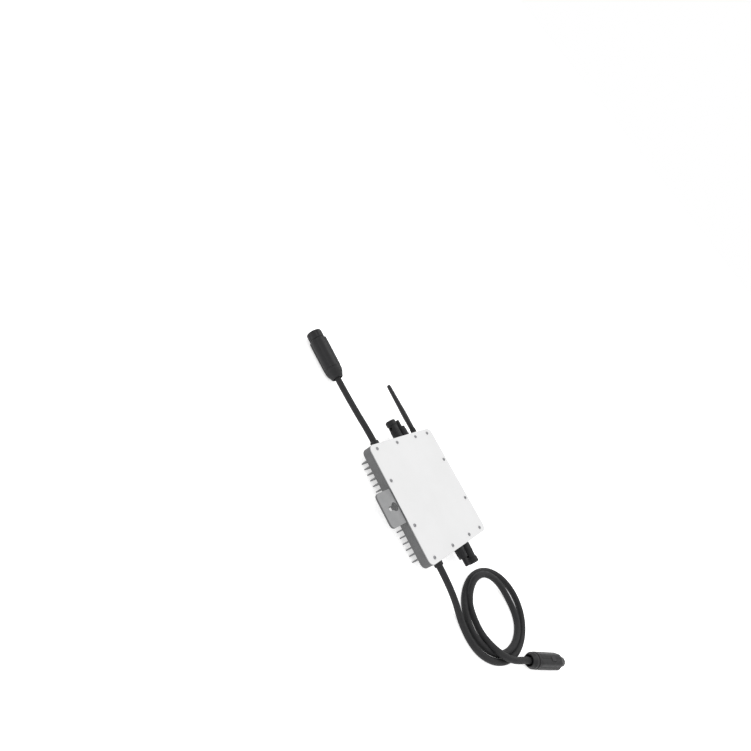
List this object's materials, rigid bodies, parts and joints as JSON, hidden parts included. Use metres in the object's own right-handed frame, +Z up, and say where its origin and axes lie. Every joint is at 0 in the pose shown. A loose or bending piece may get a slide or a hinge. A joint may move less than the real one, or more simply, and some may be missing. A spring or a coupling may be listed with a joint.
{
  "type": "micro inverter",
  "caption": "Flat finned solar micro inverter: die-cast case, screwed cover, hanging ear, DC sockets at both ends, whip antenna, coiled AC trunk cable with two connectors",
  "frame": {"origin": "Under the centre of the case outline, on the plane of the fin tips on which the inverter rests", "axes": "+X across the case, away from the hanging ear; +Y along the case, towards the antenna; +Z up, out of the cover"},
  "size_m": [0.3, 0.7765, 0.0415],
  "materials": {
    "cast_case": "powder-coated die-cast aluminium, fine grain",
    "cover_paint": "smooth off-white powder coat on sheet aluminium",
    "seal_rubber": "matt black rubber",
    "screw_steel": "zinc-plated steel",
    "socket_plastic": "black glass-filled nylon",
    "contact_metal": "tinned copper alloy",
    "nut_plastic": "black nylon",
    "gland_plastic": "black nylon",
    "jack_metal": "gold-plated brass",
    "antenna_collar": "black moulded collar, fluted",
    "antenna_rubber": "satin black rubber",
    "plug_plastic": "black nylon, fine moulded texture",
    "collar_plastic": "black nylon, slotted grip",
    "button_plastic": "black nylon",
    "insert_plastic": "dark nylon",
    "cable_jacket": "black trunk cable jacket with a fine ribbed grain",
    "board_laminate": "green solder mask",
    "thermal_pad": "soft blue-grey silicone pad",
    "ferrite": "dark grey ferrite",
    "winding_tape": "yellow polyester tape",
    "film_case": "yellow moulded case",
    "relay_case": "black case",
    "winding_copper": "enamelled copper",
    "terminal_plastic": "green terminal block",
    "wire_insulation": "PVC insulation",
    "capacitor_sleeve": "dark blue sleeve",
    "tag_copper": "tinned copper",
    "chip_epoxy": "black epoxy",
    "shield_tin": "tin-plated shield",
    "coax_jacket": "black coax"
  },
  "bodies": {
    "inverter": {"heatsink_case": "cast_case", "cover_plate": "cover_paint", "cover_gasket": "seal_rubber", "cover_screws": "screw_steel", "dc_plus_socket_front": "socket_plastic", "dc_minus_socket_front": "socket_plastic", "dc_plus_socket_rear": "socket_plastic", "dc_minus_socket_rear": "socket_plastic", "dc_contact_pins": "contact_metal", "dc_contact_sleeves": "contact_metal", "dc_panel_nuts": "nut_plastic", "dc_panel_seals": "seal_rubber", "ac_gland_front": "gland_plastic", "ac_gland_rear": "gland_plastic", "ac_gland_nuts": "nut_plastic", "antenna_jack": "jack_metal", "antenna_jack_nut": "jack_metal", "plug_a_nut": "plug_plastic", "plug_a_seal": "seal_rubber", "plug_a_insert": "insert_plastic", "plug_a_shell": "plug_plastic", "plug_a_contacts": "contact_metal", "plug_b_nut": "plug_plastic", "plug_b_seal": "seal_rubber", "plug_b_insert": "insert_plastic", "plug_b_shell": "plug_plastic", "plug_b_contacts": "contact_metal", "ac_short_cable": "cable_jacket", "ac_lead_cable": "cable_jacket", "ac_tail_cable": "cable_jacket", "ac_cable_coil": "cable_jacket", "circuit_board": "board_laminate", "board_screws": "screw_steel", "heat_pads": "thermal_pad", "transformer_cores": "ferrite", "transformer_windings": "winding_tape", "film_capacitors": "film_case", "mains_relay": "relay_case", "choke_core": "ferrite", "choke_windings": "winding_copper", "ac_terminal_blocks": "terminal_plastic", "ac_inner_wires": "wire_insulation", "input_capacitors": "capacitor_sleeve", "dc_tags": "tag_copper", "power_switches": "chip_epoxy", "control_chips": "chip_epoxy", "radio_board": "board_laminate", "radio_shield": "shield_tin", "antenna_coax": "coax_jacket"},
    "antenna": {"antenna_collar": "antenna_collar", "antenna_whip": "antenna_rubber"},
    "coupling_collar": {"plug_a_collar": "collar_plastic"},
    "release_button": {"plug_b_button": "button_plastic"}
  },
  "joints": [
    {"name": "antenna_turn", "type": "hinge", "parent": "inverter", "child": "antenna", "pos_m": [0.064, 0.115, 0.0285], "axis": [0, 1, 0], "range_deg": [0, 360]},
    {"name": "collar_turn", "type": "hinge", "parent": "inverter", "child": "coupling_collar", "pos_m": [-0.065, 0.2655, 0.018], "axis": [0, 1, 0], "range_deg": [0, 45]},
    {"name": "button_press", "type": "slide", "parent": "inverter", "child": "release_button", "axis": [0, 0, -1], "range_m": [0, 0.0015], "stiffness_N_per_m": 500, "springref_m": -0.001}
  ]
}
